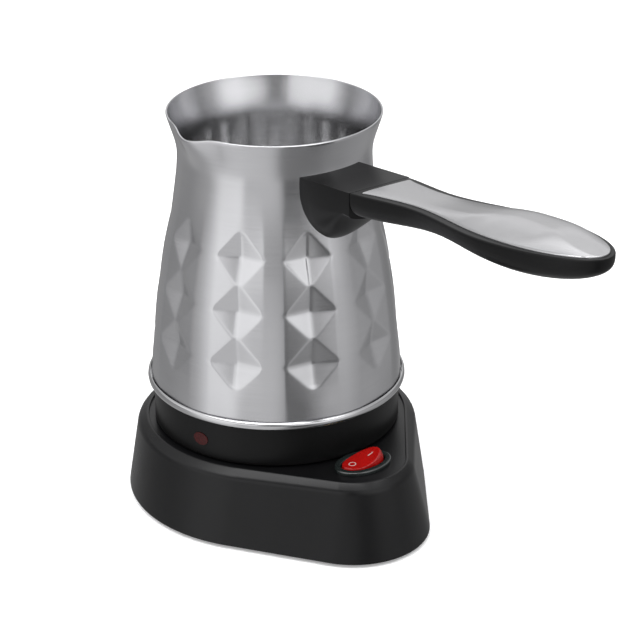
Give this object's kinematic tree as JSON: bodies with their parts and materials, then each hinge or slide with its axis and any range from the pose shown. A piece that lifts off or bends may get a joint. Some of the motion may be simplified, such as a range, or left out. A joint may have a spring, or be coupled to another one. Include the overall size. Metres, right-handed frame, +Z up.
{
  "type": "electric coffee pot",
  "caption": "Electric Turkish coffee pot: embossed steel pot with pouring lip and straight side handle, on a drop-shaped base with rocker switch and round coupling.",
  "frame": {"origin": "middle of the footprint on the table, under the middle of the overall length", "axes": "+X along the handle towards its end, +Z up, pouring lip and lamp on the -Y side"},
  "size_m": [0.2392, 0.1174, 0.1611],
  "materials": {
    "steel": "brushed",
    "polished": "polished",
    "black": "satin",
    "insert": "satin silver",
    "white": "plain",
    "spreader": "plain",
    "sheath": "dark",
    "terminal": "plain",
    "fuse": "plain",
    "sleeve": "glass-fibre sleeve",
    "screw": "zinc plated",
    "lens": "gloss",
    "lamp": "gloss",
    "grey": "satin",
    "rubber": "plain",
    "red": "gloss"
  },
  "bodies": {
    "base": {"base_housing": "black", "base_cover": "black", "rubber_feet": "rubber", "cover_screws": "screw", "coupling_body": "white", "live_contact": "terminal", "neutral_contact": "terminal", "earth_contact": "terminal", "coupling_screws": "screw", "switch_frame": "grey", "switch_terminals": "terminal", "contact_bridge": "terminal", "base_leads": "sleeve", "cord_gland": "rubber", "cord_clamp": "grey", "clamp_screws": "screw"},
    "cap": {"coupling_cap": "grey"},
    "pot": {"pot_body": "steel", "pot_floor": "steel", "floor_studs": "steel", "handle_bracket": "steel", "trim_ring": "polished", "collar": "black", "handle_shield": "black", "handle_grip": "black", "handle_insert": "insert", "collar_seal": "white", "upper_connector": "white", "heat_spreader": "spreader", "heating_element": "sheath", "element_pins": "terminal", "thermostat": "terminal", "live_ring": "terminal", "neutral_ring": "terminal", "earth_pin": "terminal", "thermal_fuse": "fuse", "pot_leads": "sleeve", "lamp_leads": "sleeve", "connector_screws": "screw", "collar_screws": "screw", "handle_screw": "screw", "indicator_lens": "lens", "indicator_lamp": "lamp"},
    "rocker": {"switch_rocker": "red", "rocker_plunger": "white"}
  },
  "joints": [
    {"name": "pot_swivel", "type": "hinge", "parent": "base", "child": "cap", "pos_m": [-0.0609, 0, 0.0438], "axis": [0, 0, 1], "continuous": true},
    {"name": "pot_lift", "type": "slide", "parent": "cap", "child": "pot", "axis": [0, 0, 1], "range_m": [0, 0.08]},
    {"name": "rocker_tilt", "type": "hinge", "parent": "base", "child": "rocker", "pos_m": [-0.0049, 0, 0.0301], "axis": [-1, 0, 0], "range_deg": [0, 22]}
  ]
}
